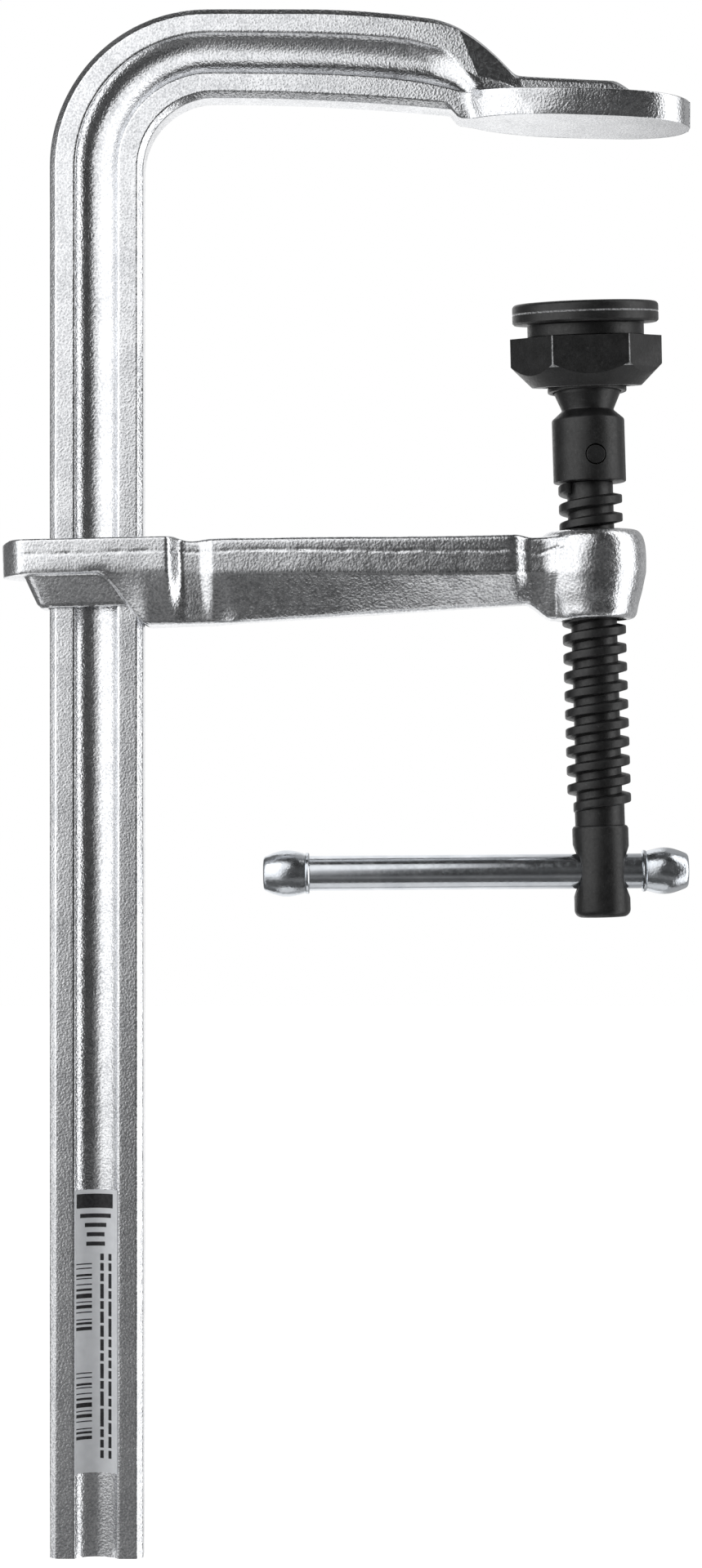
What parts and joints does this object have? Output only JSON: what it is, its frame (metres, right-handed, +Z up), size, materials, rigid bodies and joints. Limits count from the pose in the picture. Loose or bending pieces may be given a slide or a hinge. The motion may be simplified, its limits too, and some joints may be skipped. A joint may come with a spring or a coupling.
{
  "type": "f clamp",
  "caption": "All-steel screw clamp: grooved forged rail with fixed jaw, sliding jaw, threaded spindle with swivel pressure pad and sliding tommy bar.",
  "frame": {"origin": "middle of the rail's plain lower end face", "axes": "+Z up along the rail towards the fixed jaw, +X from the rail towards the screw, +Y through the rail's thickness (the front is -Y)"},
  "size_m": [0.1839, 0.0392, 0.413],
  "materials": {
    "rail_zinc": "zinc-plated forging with a fine sandy grain",
    "jaw_zinc": "zinc-plated forging with a coarser sandy grain and grinding marks",
    "label_paper": "matt printed paper",
    "screw_black": "black oxide, oiled, rolled thread",
    "stud_black": "black oxide, turned",
    "pin_black": "black oxide, turned end",
    "ring_black": "black oxide",
    "nut_black": "black oxide, pressed, edges worn lighter",
    "plate_black": "black oxide, turned rim",
    "bar_zinc": "bright smooth zinc",
    "cap_zinc": "bright zinc with a slight grain"
  },
  "bodies": {
    "rail": {"rail": "rail_zinc", "size_label": "label_paper"},
    "jaw": {"sliding_jaw": "jaw_zinc"},
    "ring": {"retaining_ring": "ring_black"},
    "screw": {"spindle": "screw_black", "ball_stud": "stud_black", "stud_pin": "pin_black"},
    "bar": {"tommy_bar": "bar_zinc", "bar_cap_left": "cap_zinc", "bar_cap_right": "cap_zinc"},
    "pad": {"socket_nut": "nut_black", "pressure_plate": "plate_black"}
  },
  "joints": [
    {"name": "jaw_slide", "type": "slide", "parent": "rail", "child": "jaw", "axis": [0, 0, 1], "range_m": [-0.245, 0]},
    {"name": "screw_feed", "type": "slide", "parent": "jaw", "child": "ring", "axis": [-0.03, 0, 0.9995], "range_m": [-0.0125, 0.0425]},
    {"name": "screw_turn", "type": "hinge", "parent": "ring", "child": "screw", "pos_m": [0.13085, 0, 0.31699], "axis": [-0.03, 0, 0.9995], "range_deg": [-900, 3060]},
    {"name": "bar_slide", "type": "slide", "parent": "screw", "child": "bar", "axis": [1, 0, 0.0075], "range_m": [-0.0035, 0.07]},
    {"name": "pad_tilt", "type": "hinge", "parent": "ring", "child": "pad", "pos_m": [0.13085, 0, 0.31699], "axis": [0, 1, 0], "range_deg": [-8, 8]}
  ],
  "couplings": [
    {"joint": "screw_feed", "follows": "screw_turn", "m_per_rad": 0.00079577}
  ]
}
